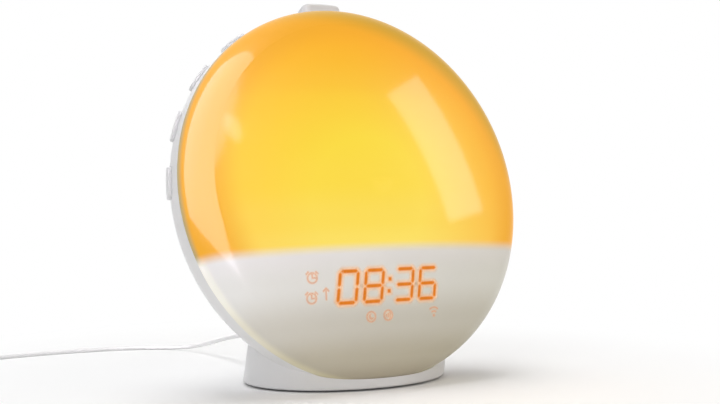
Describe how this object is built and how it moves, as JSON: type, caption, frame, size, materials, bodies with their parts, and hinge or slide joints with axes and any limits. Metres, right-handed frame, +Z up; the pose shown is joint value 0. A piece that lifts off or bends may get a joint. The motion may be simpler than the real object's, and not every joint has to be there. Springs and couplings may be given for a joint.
{
  "type": "sunrise alarm clock",
  "caption": "Round wake-up lamp that leans back on a flared foot, with the time shown through its lit dome and press buttons around the rim.",
  "frame": {"origin": "on the ground below the centre of the foot, in the middle of the width and depth without the cord", "axes": "+Z up, the lit face looks towards -Y and leans back, +X to the right as seen from behind the face's viewer, who looks along +Y"},
  "size_m": [0.2826, 0.1955, 0.1819],
  "materials": {
    "white_plastic": "satin",
    "diffuser_plastic": "frosted",
    "button_plastic": "satin",
    "grey_rubber": "matte",
    "steel": "zinc plated",
    "white_board": "solder mask",
    "green_board": "solder mask",
    "led": "moulded",
    "gold_pins": "plated",
    "divider_plastic": "satin",
    "display_black": "matte",
    "digit_orange": "lit",
    "digit_dark": "unlit",
    "icon_orange": "lit",
    "ribbon": "flat cable",
    "chip_black": "moulded",
    "radio_can": "tinned",
    "capacitor_can": "satin",
    "socket_cream": "moulded",
    "switch_grey": "moulded",
    "speaker_steel": "black",
    "magnet": "ferrite",
    "cone": "paper",
    "foam": "foam",
    "jack_black": "moulded",
    "wire": "insulated",
    "cord_white": "smooth",
    "tie_black": "matte",
    "plug_white": "satin",
    "shell_steel": "nickel plated",
    "cell_steel": "nickel plated"
  },
  "bodies": {
    "clock": {"base_cover": "white_plastic", "base_screws": "steel", "battery_door": "white_plastic", "battery_door_screw": "steel", "battery_holder": "jack_black", "board_screws": "steel", "capacitors": "capacitor_can", "coin_cell": "cell_steel", "cord_coil": "cord_white", "cord_tail": "cord_white", "cord_tie": "tie_black", "display_block": "display_black", "display_board": "green_board", "display_dark_bars": "digit_dark", "display_digits": "digit_orange", "display_icons": "icon_orange", "display_ribbon": "ribbon", "front_diffuser": "diffuser_plastic", "housing_screws": "steel", "key_board": "green_board", "key_ribbon": "ribbon", "led_board": "white_board", "led_pins": "gold_pins", "leds": "led", "light_divider": "divider_plastic", "main_board": "green_board", "main_chips": "chip_black", "power_cord": "cord_white", "power_jack": "jack_black", "power_plug": "plug_white", "power_wires": "wire", "radio_module": "radio_can", "rear_housing": "white_plastic", "reflector_plate": "white_plastic", "rubber_feet": "grey_rubber", "speaker_cone": "cone", "speaker_frame": "speaker_steel", "speaker_gasket": "foam", "speaker_magnet": "magnet", "speaker_screws": "steel", "speaker_wires": "wire", "tact_switches": "switch_grey", "usb_plug": "plug_white", "usb_shell": "shell_steel", "wire_sockets": "socket_cream"},
    "snooze_button": {"snooze_button": "button_plastic"},
    "left_button_1": {"left_button_1": "button_plastic"},
    "right_button_1": {"right_button_1": "button_plastic"},
    "left_button_2": {"left_button_2": "button_plastic"},
    "right_button_2": {"right_button_2": "button_plastic"},
    "left_button_3": {"left_button_3": "button_plastic"},
    "right_button_3": {"right_button_3": "button_plastic"},
    "left_button_4": {"left_button_4": "button_plastic"},
    "right_button_4": {"right_button_4": "button_plastic"}
  },
  "joints": [
    {"name": "snooze_button_press", "type": "slide", "parent": "clock", "child": "snooze_button", "axis": [0, -0.2504, -0.9681], "range_m": [0, 0.001], "stiffness_N_per_m": 800, "springref_m": -0.0004},
    {"name": "left_button_1_press", "type": "slide", "parent": "clock", "child": "left_button_1", "axis": [0.5505, -0.209, -0.8083], "range_m": [0, 0.0006], "stiffness_N_per_m": 800, "springref_m": -0.0004},
    {"name": "right_button_1_press", "type": "slide", "parent": "clock", "child": "right_button_1", "axis": [-0.5505, -0.209, -0.8083], "range_m": [0, 0.0006], "stiffness_N_per_m": 800, "springref_m": -0.0004},
    {"name": "left_button_2_press", "type": "slide", "parent": "clock", "child": "left_button_2", "axis": [0.7716, -0.1593, -0.6158], "range_m": [0, 0.0006], "stiffness_N_per_m": 800, "springref_m": -0.0004},
    {"name": "right_button_2_press", "type": "slide", "parent": "clock", "child": "right_button_2", "axis": [-0.7716, -0.1593, -0.6158], "range_m": [0, 0.0006], "stiffness_N_per_m": 800, "springref_m": -0.0004},
    {"name": "left_button_3_press", "type": "slide", "parent": "clock", "child": "left_button_3", "axis": [0.9272, -0.0938, -0.3627], "range_m": [0, 0.0006], "stiffness_N_per_m": 800, "springref_m": -0.0004},
    {"name": "right_button_3_press", "type": "slide", "parent": "clock", "child": "right_button_3", "axis": [-0.9272, -0.0938, -0.3627], "range_m": [0, 0.0006], "stiffness_N_per_m": 800, "springref_m": -0.0004},
    {"name": "left_button_4_press", "type": "slide", "parent": "clock", "child": "left_button_4", "axis": [0.9969, -0.0196, -0.076], "range_m": [0, 0.0006], "stiffness_N_per_m": 800, "springref_m": -0.0004},
    {"name": "right_button_4_press", "type": "slide", "parent": "clock", "child": "right_button_4", "axis": [-0.9969, -0.0196, -0.076], "range_m": [0, 0.0006], "stiffness_N_per_m": 800, "springref_m": -0.0004}
  ]
}
